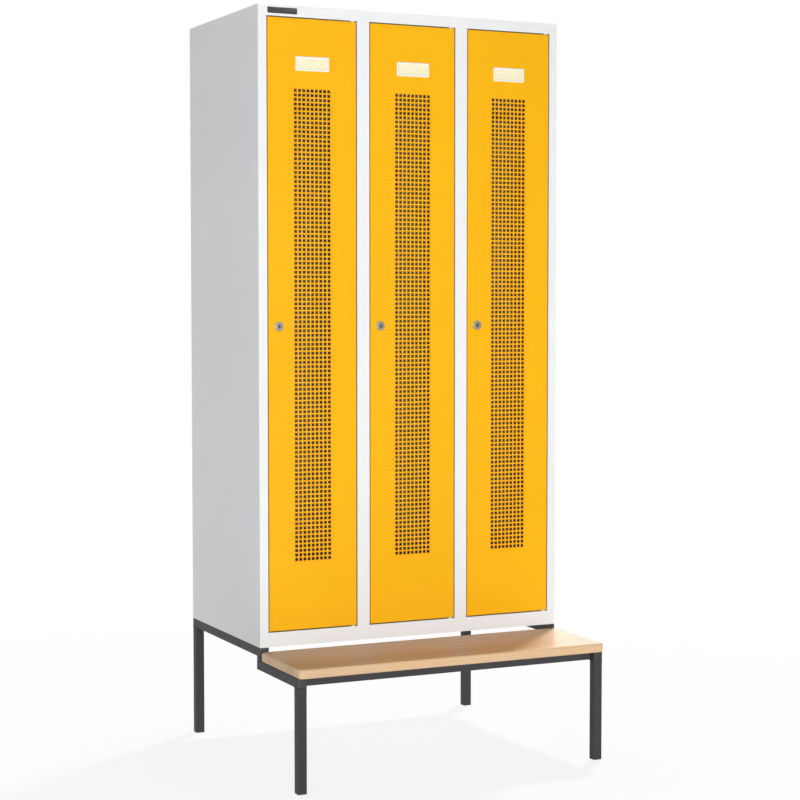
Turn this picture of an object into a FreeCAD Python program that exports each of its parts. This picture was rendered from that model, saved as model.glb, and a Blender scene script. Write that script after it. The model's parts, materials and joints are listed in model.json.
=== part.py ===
import FreeCAD, Part
import math
import os

# A steel locker cabinet with three doors, standing on a square-tube frame that carries a bench plank.
# The origin lies on the floor, under the middle of the whole footprint. Doors face -Y. Sizes are in mm.

# Overall sizes
cabinet_width = 900.0
cabinet_depth = 540.0
cabinet_height = 1700.0
base_height = 335.0
compartments = 3
sheet = 1.0

# How far a cut runs past what it cuts, how near counts as the same place,
# and how much of a wall a rounding may take
overrun = 5.0
same_place = 0.01
rounding_limit_share = 0.35

# Front frame of the cabinet
stile_width = 36.0
outer_stile = 24.0
stile_depth = 25.0
stile_return = 10.0
top_rail = 29.0
bottom_rail = 39.0
corner_radius = 1.2

# Doors
door_gap = 3.0
door_depth = 18.0
door_lip = 12.0
door_bend = 1.2

# Perforated strip in each door
strip_width = 112.0
strip_end_margin = 181.0
strip_overlap = 6.0
hole_side = 8.0
hole_pitch = 12.0
strip_border = 4.0

# Stiffener behind each door
stiffener_width = 26.0
stiffener_depth = 13.0
stiffener_foot = 8.0
stiffener_end_margin = 60.0

# Hinge pins and their bushes
hinge_inset = 8.0
hinge_setback = 7.0
pin_radius = 3.5
pin_head_radius = 5.0
pin_head_height = 2.0
pin_rise = 6.0
pin_fit = 0.05
bush_wall = 1.2
bush_flange_radius = 6.5
bush_flange_height = 1.5
bush_collar_gap = 0.3
seat_gap = 0.05

# Lock
lock_inset = 30.0
rosette_radius = 13.0
rosette_height = 3.0
rosette_chamfer = 1.0
barrel_radius = 9.0
plug_radius = 6.0
plug_proud = 0.6
plug_fit = 0.05
key_slot_width = 1.6
key_slot_length = 8.0
key_slot_depth = 5.0
cam_thickness = 2.5
cam_width = 14.0
cam_catch = 12.0
cam_clearance = 0.8
cam_gap = 0.2
tail_side = 6.0
tail_fit = 0.05
tail_proud = 1.5

# Label frame and card
label_width = 96.0
label_height = 38.0
label_from_top = 118.0
label_depth = 2.4
label_border = 5.0
card_depth = 0.6
card_cover = 2.0
card_gap = 0.2

# Blank plate on the top rail
plate_width = 84.0
plate_height = 16.0
plate_depth = 1.2

# Inside of each compartment
hat_space = 180.0
shelf_flange = 20.0
shelf_setback = 40.0
coat_rail_drop = 55.0
coat_rail_radius = 9.0
coat_rail_wall = 1.5
coat_flange_radius = 15.0
coat_flange_depth = 3.0
hook_plate_width = 20.0
hook_plate_height = 50.0
hook_plate_depth = 2.0
hook_radius = 3.5
hook_reach = 34.0
hook_knob_radius = 6.0
hook_drop = 180.0
hook_from_back = 120.0

# Rubber buffers behind the free edge of each door
buffer_width = 8.0
buffer_height = 30.0
buffer_gap = 0.3
buffer_place_shares = (0.2, 0.8)

# Tube frame
tube = 25.0
tube_wall = 1.5
tube_corner = 2.0
spacer_height = 11.0
frame_setback = 12.0
cap_height = 4.0
cap_stub = 15.0
plug_flange = 2.0
plug_stub = 12.0
plug_side_gap = 0.1

# Bench
plank_depth = 275.0
plank_thickness = 25.0
plank_corner = 14.0
plank_round = 5.0

# Fasteners
screw_radius = 2.5
screw_head_radius = 5.0
screw_head_height = 2.5
screw_bite = 12.0
screw_clearance = 0.2
bench_screw_end_shares = (0.12, 0.82)
bench_screw_middle_shares = (-0.25, 0.25)
bolt_radius = 4.0
bolt_head_sides = 6
bolt_head_flats = 13.0
bolt_head_height = 5.3
bolt_length = 18.0
bolt_clearance = 0.2
bolt_place_shares = (0.15, 0.85)

# Holes in the back for fastening the cabinet to a wall
wall_hole_radius = 4.25
wall_hole_spacing = 600.0
wall_hole_drop = 60.0

# Levels and planes that the pieces share
half_width = cabinet_width / 2
half_stile = stile_width / 2
row_left = outer_stile - half_stile - half_width
pitch = (cabinet_width + stile_width - 2 * outer_stile) / compartments
rear_y = (cabinet_depth + plank_depth) / 2
front_y = rear_y - cabinet_depth
plank_front_y = front_y - plank_depth
leg_front_y = plank_front_y + frame_setback
top_z = base_height + cabinet_height
pan_z = base_height + sheet
roof_z = top_z - sheet
opening_bottom = base_height + bottom_rail
opening_top = top_z - top_rail
door_bottom = opening_bottom + door_gap
door_top = opening_top - door_gap
door_height = door_top - door_bottom
door_width = pitch - stile_width - 2 * door_gap
door_middle_z = (door_bottom + door_top) / 2
half_sheet = sheet / 2
upper_rail_under = base_height - tube
lower_rail_top = upper_rail_under - spacer_height
lower_rail_under = lower_rail_top - tube
plank_top = lower_rail_top + plank_thickness
shelf_z = roof_z - hat_space
coat_rail_z = shelf_z - sheet - coat_rail_drop
inside_middle_y = (front_y + stile_depth + rear_y) / 2
cam_front_y = front_y + stile_depth + cam_clearance
cam_reach = lock_inset + door_gap + cam_catch
bush_radius = pin_radius + pin_fit + bush_wall
mm3_in_cm3 = 1000

UP = FreeCAD.Vector(0, 0, 1)
BACK = FreeCAD.Vector(0, 1, 0)
RIGHT = FreeCAD.Vector(1, 0, 0)

os.makedirs("parts", exist_ok=True)


def save(name, shape):
    shape.exportStep("parts/" + name + ".step")
    print(name, len(shape.Solids), "solid(s)", round(shape.Volume / mm3_in_cm3, 1), "cm3")


def box(x, y, z):
    size = (x[1] - x[0], y[1] - y[0], z[1] - z[0])
    return Part.makeBox(*size, FreeCAD.Vector(x[0], y[0], z[0]))


def rod(radius, start, length, direction):
    return Part.makeCylinder(radius, length, FreeCAD.Vector(*start), direction)


def joined(shapes):
    return shapes[0].fuse(shapes[1:]).removeSplitter()


def around(middle, size):
    return (middle - size / 2, middle + size / 2)


def limited(radius, wall):
    return min(radius, rounding_limit_share * wall)


def same(value, place):
    return abs(value - place) < same_place


def square_bar(x, y, z, axis):
    # A bar as wide as the tubes, with its four long edges rounded.
    bar = box(x, y, z)
    start, end = (x, y, z)[axis]
    edges = []
    for edge in bar.Edges:
        reach = edge.BoundBox
        if same((reach.XLength, reach.YLength, reach.ZLength)[axis], end - start):
            edges.append(edge)
    return bar.makeFillet(limited(tube_corner, tube), edges)


def square_tube(x, y, z, axis):
    spans = [x, y, z]
    bore = []
    for index, span in enumerate(spans):
        if index == axis:
            bore.append((span[0] - overrun, span[1] + overrun))
        else:
            bore.append((span[0] + tube_wall, span[1] - tube_wall))
    return square_bar(x, y, z, axis).cut(box(*bore))


def stile_x(index):
    return row_left + pitch * index


def compartment_middle(index):
    return (stile_x(index) + stile_x(index + 1)) / 2


def compartment_walls(index):
    left = stile_x(index) + half_sheet
    right = stile_x(index + 1) - half_sheet
    if index == 0:
        left = sheet - half_width
    if index == compartments - 1:
        right = half_width - sheet
    return (left, right)


# Cabinet shell
def side_panel(side):
    # The sheet turns round the front edge, back along the door and in again behind it.
    outer = half_width
    lip = half_width - outer_stile
    stile_back_y = front_y + stile_depth
    z = (pan_z, roof_z)
    panel = joined([
        box((outer - sheet, outer), (front_y, rear_y), z),
        box((lip, outer), (front_y, front_y + sheet), z),
        box((lip, lip + sheet), (front_y, stile_back_y), z),
        box((lip, lip + stile_return), (stile_back_y - sheet, stile_back_y), z),
    ])
    corner = [edge for edge in panel.Edges if is_upright(edge, outer, front_y)]
    panel = panel.makeFillet(limited(corner_radius, outer_stile), corner)
    if side < 0:
        panel = panel.mirror(FreeCAD.Vector(0, 0, 0), RIGHT)
    return panel


def is_upright(edge, x, y):
    return all(same(vertex.X, x) and same(vertex.Y, y) for vertex in edge.Vertexes)


def front_rail_span():
    return (outer_stile - half_width, half_width - outer_stile)


def hinge_axis(index):
    x = compartment_middle(index) + door_width / 2 - hinge_inset
    return (x, front_y + hinge_setback)


def bush_holes(z):
    holes = []
    for index in range(compartments):
        x, y = hinge_axis(index)
        holes.append(rod(bush_radius + seat_gap, (x, y, z - overrun), sheet + 2 * overrun, UP))
    return holes


def roof():
    span = front_rail_span()
    lip_y = (front_y, front_y + stile_depth)
    panel = joined([
        box((-half_width, half_width), (front_y, rear_y), (roof_z, top_z)),
        box(span, (front_y, front_y + sheet), (opening_top, roof_z)),
        box(span, lip_y, (opening_top, opening_top + sheet)),
    ])
    return panel.cut(bush_holes(opening_top))


def bolt_places():
    x = half_width - tube / 2
    y_places = [front_y + share * cabinet_depth for share in bolt_place_shares]
    return [(side * x, y) for side in (-1, 1) for y in y_places]


def bolt_holes(z, depth):
    radius = bolt_radius + bolt_clearance
    return [rod(radius, (x, y, z - overrun), depth + 2 * overrun, UP) for x, y in bolt_places()]


def floor_pan():
    span = front_rail_span()
    lip_y = (front_y, front_y + stile_depth)
    panel = joined([
        box((-half_width, half_width), (front_y, rear_y), (base_height, pan_z)),
        box(span, (front_y, front_y + sheet), (pan_z, opening_bottom)),
        box(span, lip_y, (opening_bottom - sheet, opening_bottom)),
    ])
    return panel.cut(bush_holes(opening_bottom - sheet)).cut(bolt_holes(base_height, sheet))


def partition(index):
    # A hollow stile stands between two doors, with one sheet running back from it.
    x = stile_x(index)
    stile_z = (opening_bottom, opening_top)
    stile_y = (front_y, front_y + stile_depth)
    hollow = box(
        around(x, stile_width - 2 * sheet),
        (stile_y[0] + sheet, stile_y[1] - sheet),
        (stile_z[0] - overrun, stile_z[1] + overrun),
    )
    stile = box(around(x, stile_width), stile_y, stile_z).cut(hollow)
    web = box(around(x, sheet), (stile_y[1], rear_y - sheet), (pan_z, roof_z))
    return joined([stile, web])


def back_panel():
    panel = box((sheet - half_width, half_width - sheet), (rear_y - sheet, rear_y), (pan_z, roof_z))
    z = top_z - wall_hole_drop
    holes = []
    for x in around(0, wall_hole_spacing):
        start = (x, rear_y - sheet - overrun, z)
        holes.append(rod(wall_hole_radius, start, sheet + 2 * overrun, BACK))
    return panel.cut(holes)


# Fittings inside a compartment
def hat_shelf(index):
    x = compartment_walls(index)
    y = (front_y + shelf_setback, rear_y - sheet)
    skirt_z = (shelf_z - shelf_flange, shelf_z)
    return joined([
        box(x, y, (shelf_z - sheet, shelf_z)),
        box(x, (y[0], y[0] + sheet), skirt_z),
        box(x, (y[1] - sheet, y[1]), skirt_z),
    ])


def coat_rail(index):
    left, right = compartment_walls(index)
    place = (inside_middle_y, coat_rail_z)
    rail = rod(coat_rail_radius, (left, *place), right - left, RIGHT)
    flanges = [
        rod(coat_flange_radius, (left, *place), coat_flange_depth, RIGHT),
        rod(coat_flange_radius, (right - coat_flange_depth, *place), coat_flange_depth, RIGHT),
    ]
    bore_length = right - left - 2 * coat_flange_depth
    bore = rod(coat_rail_radius - coat_rail_wall, (left + coat_flange_depth, *place), bore_length, RIGHT)
    return joined([rail] + flanges).cut(bore)


def coat_hook(x, direction):
    # A plate on the wall carries a straight peg with a knob, so that a strap stays on it.
    y = rear_y - hook_from_back
    z = coat_rail_z - hook_drop
    out = RIGHT * direction
    plate_x = sorted((x, x + direction * hook_plate_depth))
    plate = box(plate_x, around(y, hook_plate_width), around(z, hook_plate_height))
    peg = rod(hook_radius, (x, y, z), hook_reach, out)
    knob = Part.makeSphere(hook_knob_radius, FreeCAD.Vector(x + direction * hook_reach, y, z))
    return joined([plate, peg, knob])


def coat_hooks():
    hooks = []
    for index in range(compartments):
        left, right = compartment_walls(index)
        hooks += [coat_hook(left, 1), coat_hook(right, -1)]
    return Part.makeCompound(hooks)


def door_buffers():
    buffers = []
    y = (front_y + door_depth + buffer_gap, front_y + stile_depth)
    for index in range(compartments):
        x = compartment_middle(index) - door_width / 2 - door_gap
        for share in buffer_place_shares:
            z = door_bottom + share * door_height
            buffers.append(box((x, x + buffer_width), y, around(z, buffer_height)))
    return Part.makeCompound(buffers)


def name_plate():
    left = compartment_middle(0) - door_width / 2
    middle_z = top_z - top_rail / 2
    return box((left, left + plate_width), (front_y - plate_depth, front_y), around(middle_z, plate_height))


# Hinges
def bush(x, y, seat, direction):
    # The flange lies in the gap beside the door and the sleeve passes through the rail's lip.
    up = UP * direction
    flange = rod(bush_flange_radius, (x, y, seat - direction * bush_flange_height), bush_flange_height, up)
    sleeve = rod(bush_radius, (x, y, seat), pin_rise, up)
    bore_length = bush_flange_height + pin_rise + 2 * overrun
    bore_start = seat - direction * (bush_flange_height + overrun)
    return joined([flange, sleeve]).cut(rod(pin_radius + pin_fit, (x, y, bore_start), bore_length, up))


def pivot_bushes():
    bushes = []
    for index in range(compartments):
        x, y = hinge_axis(index)
        bushes += [bush(x, y, opening_top, 1), bush(x, y, opening_bottom, -1)]
    return Part.makeCompound(bushes)


def hinge_pin(x, y, edge, direction):
    # A head inside the door, a collar on its edge and a round end that turns in the bush.
    up = UP * direction
    collar = door_gap - bush_flange_height - bush_collar_gap
    inner = edge - direction * sheet
    head = rod(pin_head_radius, (x, y, inner - direction * pin_head_height), pin_head_height, up)
    shank = rod(pin_radius, (x, y, inner), sheet + door_gap + pin_rise, up)
    ring = rod(pin_head_radius, (x, y, edge), collar, up)
    return joined([head, shank, ring])


def hinge_pins(index):
    x, y = hinge_axis(index)
    return Part.makeCompound([hinge_pin(x, y, door_top, 1), hinge_pin(x, y, door_bottom, -1)])


# Doors
def lock_place(index):
    return (compartment_middle(index) - door_width / 2 + lock_inset, door_middle_z)


def strip_z():
    return (door_bottom + strip_end_margin, door_top - strip_end_margin)


def door(index):
    # One sheet folded back on four edges, and in again along the two long ones.
    x = around(compartment_middle(index), door_width)
    y = (front_y, front_y + door_depth)
    z = (door_bottom, door_top)
    outer = box(x, y, z)
    bends = [edge for edge in outer.Edges if all(same(vertex.Y, front_y) for vertex in edge.Vertexes)]
    outer = outer.makeFillet(limited(door_bend, door_depth), bends)
    inner_x = (x[0] + sheet, x[1] - sheet)
    inner_z = (z[0] + sheet, z[1] - sheet)
    tray = outer.cut(box(inner_x, (y[0] + sheet, y[1] + overrun), inner_z))
    lips = [
        box((inner_x[0], x[0] + door_lip), (y[1] - sheet, y[1]), inner_z),
        box((x[1] - door_lip, inner_x[1]), (y[1] - sheet, y[1]), inner_z),
    ]
    skin = joined([tray] + lips)
    window_y = (y[0] - overrun, y[0] + sheet + overrun)
    window = box(around(compartment_middle(index), strip_width), window_y, strip_z())
    hole_length = sheet + 2 * overrun
    lock_x, lock_z = lock_place(index)
    lock_hole = rod(barrel_radius + seat_gap, (lock_x, window_y[0], lock_z), hole_length, BACK)
    pin_x, pin_y = hinge_axis(index)
    pin_holes = [
        rod(pin_radius + seat_gap, (pin_x, pin_y, level - overrun), hole_length, UP)
        for level in (z[0], z[1] - sheet)
    ]
    return skin.cut([window, lock_hole] + pin_holes)


def pattern_starts(span, border):
    # Hole corners along one direction, as many as fit between the borders, centred.
    room = span[1] - span[0] - 2 * border - hole_side
    count = int(room / hole_pitch) + 1
    first = (span[0] + span[1] - (count - 1) * hole_pitch - hole_side) / 2
    return [first + step * hole_pitch for step in range(count)]


def rectangle(x, y, z):
    corners = [(x[0], z[0]), (x[1], z[0]), (x[1], z[1]), (x[0], z[1]), (x[0], z[0])]
    return Part.makePolygon([FreeCAD.Vector(corner_x, y, corner_z) for corner_x, corner_z in corners])


def perforated_panel(index):
    # One face with all its square holes, given the thickness of the sheet.
    open_x = around(compartment_middle(index), strip_width)
    open_z = strip_z()
    y = front_y + sheet
    edge = rectangle(
        (open_x[0] - strip_overlap, open_x[1] + strip_overlap),
        y,
        (open_z[0] - strip_overlap, open_z[1] + strip_overlap),
    )
    # The outlines of the holes run the other way round from the panel's own outline.
    holes = [
        rectangle((left + hole_side, left), y, (low, low + hole_side))
        for left in pattern_starts(open_x, strip_border)
        for low in pattern_starts(open_z, strip_border)
    ]
    return Part.Face([edge] + holes).extrude(BACK * sheet)


def door_stiffener(index):
    # A hat-shaped channel between the strip and the hinge edge, with its two feet on the skin.
    panel_edge = strip_width / 2 + strip_overlap
    left, right = around(compartment_middle(index) + (panel_edge + door_width / 2) / 2, stiffener_width)
    y = front_y + sheet
    crown_y = y + stiffener_depth
    corners = [
        (left - stiffener_foot, y),
        (left + sheet, y),
        (left + sheet, crown_y - sheet),
        (right - sheet, crown_y - sheet),
        (right - sheet, y),
        (right + stiffener_foot, y),
        (right + stiffener_foot, y + sheet),
        (right, y + sheet),
        (right, crown_y),
        (left, crown_y),
        (left, y + sheet),
        (left - stiffener_foot, y + sheet),
    ]
    z = door_bottom + stiffener_end_margin
    points = [FreeCAD.Vector(x, level_y, z) for x, level_y in corners + corners[:1]]
    return Part.Face(Part.makePolygon(points)).extrude(UP * (door_height - 2 * stiffener_end_margin))


def label_spans(index, inset):
    middle_z = door_top - label_from_top
    x = around(compartment_middle(index), label_width - 2 * inset)
    return x, around(middle_z, label_height - 2 * inset)


def label_frame(index):
    x, z = label_spans(index, 0)
    window_x, window_z = label_spans(index, label_border)
    seat_x, seat_z = label_spans(index, label_border - card_cover - card_gap)
    frame = box(x, (front_y - label_depth, front_y), z)
    window = box(window_x, (front_y - label_depth - overrun, front_y + overrun), window_z)
    seat = box(seat_x, (front_y - card_depth - card_gap, front_y + overrun), seat_z)
    return frame.cut([window, seat])


def label_card(index):
    x, z = label_spans(index, label_border - card_cover)
    return box(x, (front_y - card_depth, front_y), z)


# Locks
def lock_body(index):
    x, z = lock_place(index)
    front = front_y - rosette_height
    rosette = rod(rosette_radius, (x, front, z), rosette_height, BACK)
    rim = [edge for edge in rosette.Edges if edge.Closed and same(edge.CenterOfMass.y, front)]
    rosette = rosette.makeChamfer(limited(rosette_chamfer, rosette_height), rim)
    barrel_end = cam_front_y - cam_gap
    barrel = rod(barrel_radius, (x, front_y, z), barrel_end - front_y, BACK)
    bore = rod(plug_radius + plug_fit, (x, front - overrun, z), barrel_end - front + 2 * overrun, BACK)
    return joined([rosette, barrel]).cut(bore)


def lock_plug(index):
    x, z = lock_place(index)
    front = front_y - rosette_height - plug_proud
    plug = rod(plug_radius, (x, front, z), cam_front_y - front, BACK)
    tail_y = (cam_front_y, cam_front_y + cam_thickness + tail_proud)
    tail = box(around(x, tail_side), tail_y, around(z, tail_side))
    slot_y = (front - overrun, front + key_slot_depth)
    slot = box(around(x, key_slot_width), slot_y, around(z, key_slot_length))
    return joined([plug, tail]).cut(slot)


def lock_cam(index):
    # Drawn unlocked, pointing up. A quarter turn brings it behind the stile.
    x, z = lock_place(index)
    half = cam_width / 2
    straight = cam_reach - half
    low = rod(half, (x, cam_front_y, z), cam_thickness, BACK)
    high = rod(half, (x, cam_front_y, z + straight), cam_thickness, BACK)
    arm = box(around(x, cam_width), (cam_front_y, cam_front_y + cam_thickness), (z, z + straight))
    hole_side_length = tail_side + 2 * tail_fit
    hole_y = (cam_front_y - overrun, cam_front_y + cam_thickness + overrun)
    hole = box(around(x, hole_side_length), hole_y, around(z, hole_side_length))
    return joined([arm, low, high]).cut(hole)


# Tube frame
def tube_span(side):
    return tuple(sorted((side * half_width, side * (half_width - tube))))


def rear_leg(side):
    return square_tube(tube_span(side), (rear_y - tube, rear_y), (cap_height, upper_rail_under), 2)


def front_leg(side):
    y = (leg_front_y, leg_front_y + tube)
    return square_tube(tube_span(side), y, (cap_height, lower_rail_under), 2)


def upper_rail(side):
    y = (front_y + plug_flange, rear_y - plug_flange)
    rail = square_tube(tube_span(side), y, (upper_rail_under, base_height), 1)
    return rail.cut(bolt_holes(base_height - tube_wall, tube_wall))


def lower_rail_end():
    return front_y + tube


def lower_rail(side):
    y = (leg_front_y + plug_flange, lower_rail_end() - plug_flange)
    rail = square_tube(tube_span(side), y, (lower_rail_under, lower_rail_top), 1)
    return rail.cut(bench_screw_holes())


def rail_spacers():
    y = (front_y, front_y + tube)
    z = (lower_rail_top, upper_rail_under)
    return Part.makeCompound([square_tube(tube_span(side), y, z, 2) for side in (-1, 1)])


def cross_span():
    return (tube - half_width, half_width - tube)


def rear_cross_rail():
    return square_tube(cross_span(), (rear_y - tube, rear_y), (upper_rail_under, base_height), 0)


def bench_rail_y():
    # The rail lies right behind the front legs, so the plank hides a part of it.
    front = leg_front_y + tube
    return (front, front + tube)


def bench_cross_rail():
    z = (lower_rail_under, lower_rail_top)
    return square_tube(cross_span(), bench_rail_y(), z, 0).cut(bench_screw_holes())


def stub_spans(x, z):
    inset = tube_wall + plug_side_gap
    return (x[0] + inset, x[1] - inset), (z[0] + inset, z[1] - inset)


def foot_caps():
    caps = []
    for side in (-1, 1):
        x = tube_span(side)
        for y in ((rear_y - tube, rear_y), (leg_front_y, leg_front_y + tube)):
            stub_x, stub_y = stub_spans(x, y)
            pad = square_bar(x, y, (0, cap_height), 2)
            stub = box(stub_x, stub_y, (cap_height, cap_height + cap_stub))
            caps.append(joined([pad, stub]))
    return Part.makeCompound(caps)


def tube_plug(x, z, y, inward):
    # A flat end with a stub that goes into the open end of a rail running along Y.
    stub_x, stub_z = stub_spans(x, z)
    shoulder = y + inward * plug_flange
    cover = square_bar(x, sorted((y, shoulder)), z, 1)
    stub = box(stub_x, sorted((shoulder, shoulder + inward * plug_stub)), stub_z)
    return joined([cover, stub])


def tube_plugs():
    plugs = []
    upper_z = (upper_rail_under, base_height)
    lower_z = (lower_rail_under, lower_rail_top)
    for side in (-1, 1):
        x = tube_span(side)
        plugs += [tube_plug(x, upper_z, front_y, 1), tube_plug(x, upper_z, rear_y, -1)]
        plugs += [tube_plug(x, lower_z, leg_front_y, 1), tube_plug(x, lower_z, lower_rail_end(), -1)]
    return Part.makeCompound(plugs)


# Bench
def bench_screw_places():
    side_x = half_width - tube / 2
    reach = front_y - leg_front_y - tube
    places = [
        (side * side_x, leg_front_y + tube + share * reach)
        for side in (-1, 1)
        for share in bench_screw_end_shares
    ]
    rail_middle_y = sum(bench_rail_y()) / 2
    return places + [(share * cabinet_width, rail_middle_y) for share in bench_screw_middle_shares]


def bench_screw_holes():
    radius = screw_radius + screw_clearance
    length = tube + 2 * overrun
    return [rod(radius, (x, y, lower_rail_under - overrun), length, UP) for x, y in bench_screw_places()]


def bench_screws():
    screws = []
    for x, y in bench_screw_places():
        head = rod(screw_head_radius, (x, y, lower_rail_under - screw_head_height), screw_head_height, UP)
        shank = rod(screw_radius, (x, y, lower_rail_under), tube + screw_bite, UP)
        screws.append(joined([head, shank]))
    return Part.makeCompound(screws)


def bench_plank():
    plank = box((-half_width, half_width), (plank_front_y, front_y), (lower_rail_top, plank_top))
    upright = [edge for edge in plank.Edges if same(edge.BoundBox.ZLength, plank_thickness)]
    plank = plank.makeFillet(plank_corner, upright)
    level = [edge for edge in plank.Edges if same(edge.BoundBox.ZLength, 0)]
    plank = plank.makeFillet(limited(plank_round, plank_thickness), level)
    radius = screw_radius + screw_clearance
    depth = screw_bite + screw_clearance + overrun
    holes = [rod(radius, (x, y, lower_rail_top - overrun), depth, UP) for x, y in bench_screw_places()]
    return plank.cut(holes)


def bolt_head_face(x, y, z):
    radius = bolt_head_flats / (2 * math.cos(math.pi / bolt_head_sides))
    corners = []
    for step in range(bolt_head_sides + 1):
        angle = math.tau * step / bolt_head_sides
        corners.append(FreeCAD.Vector(x + radius * math.cos(angle), y + radius * math.sin(angle), z))
    return Part.Face(Part.makePolygon(corners))


def frame_bolts():
    bolts = []
    for x, y in bolt_places():
        head = bolt_head_face(x, y, pan_z).extrude(UP * bolt_head_height)
        shank = rod(bolt_radius, (x, y, pan_z - bolt_length), bolt_length, UP)
        bolts.append(joined([head, shank]))
    return Part.makeCompound(bolts)


SIDES = (("left", -1), ("right", 1))

save("roof", roof())
save("floor_pan", floor_pan())
save("back_panel", back_panel())
for side_name, side_sign in SIDES:
    save("side_panel_" + side_name, side_panel(side_sign))
    save("rear_leg_" + side_name, rear_leg(side_sign))
    save("front_leg_" + side_name, front_leg(side_sign))
    save("upper_rail_" + side_name, upper_rail(side_sign))
    save("lower_rail_" + side_name, lower_rail(side_sign))

for wall in range(1, compartments):
    save("partition_" + str(wall), partition(wall))

for place in range(compartments):
    number = str(place + 1)
    save("hat_shelf_" + number, hat_shelf(place))
    save("coat_rail_" + number, coat_rail(place))
    save("door_" + number, door(place))
    save("perforated_panel_" + number, perforated_panel(place))
    save("door_stiffener_" + number, door_stiffener(place))
    save("hinge_pins_" + number, hinge_pins(place))
    save("label_frame_" + number, label_frame(place))
    save("label_card_" + number, label_card(place))
    save("lock_body_" + number, lock_body(place))
    save("lock_plug_" + number, lock_plug(place))
    save("lock_cam_" + number, lock_cam(place))

save("coat_hooks", coat_hooks())
save("pivot_bushes", pivot_bushes())
save("door_buffers", door_buffers())
save("name_plate", name_plate())
save("rail_spacers", rail_spacers())
save("rear_cross_rail", rear_cross_rail())
save("bench_cross_rail", bench_cross_rail())
save("foot_caps", foot_caps())
save("tube_plugs", tube_plugs())
save("bench_plank", bench_plank())
save("bench_screws", bench_screws())
save("frame_bolts", frame_bolts())
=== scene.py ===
# %% [markdown]
# A steel locker with a bench
#
# The object is a sheet-steel cabinet with tall yellow doors. It stands on a dark tube frame, and the front
# of that frame carries a wooden seat. The solids come in at their real size, so this script only gives
# every surface its finish, models the small pieces that the solids keep plain, and sets up a studio.

# %% Load the frame
import json
import math

import bmesh
import bpy
from mathutils import Euler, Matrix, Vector


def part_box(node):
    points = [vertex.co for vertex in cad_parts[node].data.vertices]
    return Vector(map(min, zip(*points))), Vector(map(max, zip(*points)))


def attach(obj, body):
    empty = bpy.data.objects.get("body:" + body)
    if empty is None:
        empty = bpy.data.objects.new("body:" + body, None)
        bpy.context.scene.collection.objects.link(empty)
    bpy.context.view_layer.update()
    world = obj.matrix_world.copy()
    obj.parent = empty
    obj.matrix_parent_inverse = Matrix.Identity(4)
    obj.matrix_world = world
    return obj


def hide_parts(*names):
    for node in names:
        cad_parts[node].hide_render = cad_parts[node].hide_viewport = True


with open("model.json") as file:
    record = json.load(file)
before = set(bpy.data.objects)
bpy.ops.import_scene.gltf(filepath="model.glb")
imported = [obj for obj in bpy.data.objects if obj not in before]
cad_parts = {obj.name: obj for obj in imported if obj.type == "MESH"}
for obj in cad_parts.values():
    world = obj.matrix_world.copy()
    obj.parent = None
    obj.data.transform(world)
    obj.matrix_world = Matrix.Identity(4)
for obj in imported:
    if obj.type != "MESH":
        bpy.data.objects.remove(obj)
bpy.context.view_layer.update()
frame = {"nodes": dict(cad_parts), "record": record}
mm = 0.001
leaf_numbers = (1, 2, 3)
slot_of_node = {entry["node"]: entry["material_slot"] for entry in frame["record"]["subparts"]}

# %% [markdown]
# Wiring shader nodes
#
# A finish is a small graph: patterns made from the surface's own coordinates drive the colour, the
# roughness and a fine relief. Adding each node by hand takes four lines, so these helpers add a node, wire
# it and hand back its output. A number goes straight into the socket, and only an output becomes a link.

# %% Adding nodes
def wire(tree, value, socket):
    if isinstance(value, bpy.types.NodeSocket):
        tree.links.new(value, socket)
    else:
        socket.default_value = value


def put(tree, kind, inputs, output=0, **settings):
    node = tree.nodes.new("ShaderNode" + kind)
    for key, value in settings.items():
        setattr(node, key, value)
    for key, value in inputs.items():
        wire(tree, value, node.inputs[key])
    return node.outputs[output]


def new_finish(name):
    material = bpy.data.materials.new(name)
    material.use_nodes = True
    tree = material.node_tree
    return material, tree, tree.nodes["Principled BSDF"].inputs


print("nodes can be added and wired")

# %% [markdown]
# Places and patterns
#
# Most finishes start from noise, and noise that is stretched along one axis gives streaks. Object
# coordinates are used throughout. Every object sits at the origin, so they are real metres, and they travel
# with a door when it swings. Unwrapped coordinates would need a seam on every solid.

# %% Places and patterns
def object_place(tree):
    return put(tree, "TexCoord", {}, "Object")


def along_axes(tree, place):
    return put(tree, "SeparateXYZ", {0: place}).node.outputs[:]


def vector(tree, operation, first, second, output=0):
    return put(tree, "VectorMath", {0: first, 1: second}, output, operation=operation)


def vector_length(tree, first):
    return put(tree, "VectorMath", {0: first}, "Value", operation="LENGTH")


def noise(tree, place, scale, detail=2.0, rough=0.5):
    return put(tree, "TexNoise", {"Vector": place, "Scale": scale, "Detail": detail, "Roughness": rough})


def streaks(tree, place, stretch, detail, rough=0.5):
    return noise(tree, vector(tree, "MULTIPLY", place, stretch), 1.0, detail, rough)


print("places and patterns ready")

# %% [markdown]
# Values and colours
#
# The values of a noise crowd round its middle, so a remap stretches the part that is used to the range that
# is wanted. Such a value then mixes two colours, sets the roughness between two limits, or lifts the surface.

# %% Values and colours
whole = (0.0, 1.0)
noise_middle = (0.3, 0.7)


def remap(tree, value, start, end):
    inputs = {"Value": value, "From Min": start[0], "From Max": start[1], "To Min": end[0], "To Max": end[1]}
    return put(tree, "MapRange", inputs)


def calculate(tree, operation, first, second=0.0):
    return put(tree, "Math", {0: first, 1: second}, operation=operation)


def mixed(tree, share, first, second):
    return put(tree, "Mix", {0: share, 6: first, 7: second}, 2, data_type="RGBA")


def relief(tree, height, depth):
    return put(tree, "Bump", {"Height": height, "Distance": depth, "Strength": 1.0})


def tone(colour, factor):
    return tuple(min(1.0, channel * factor) for channel in colour[:3]) + (1.0,)


def around(middle, spread):
    return middle + spread[0], middle + spread[1]


print("values and colours ready")

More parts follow.
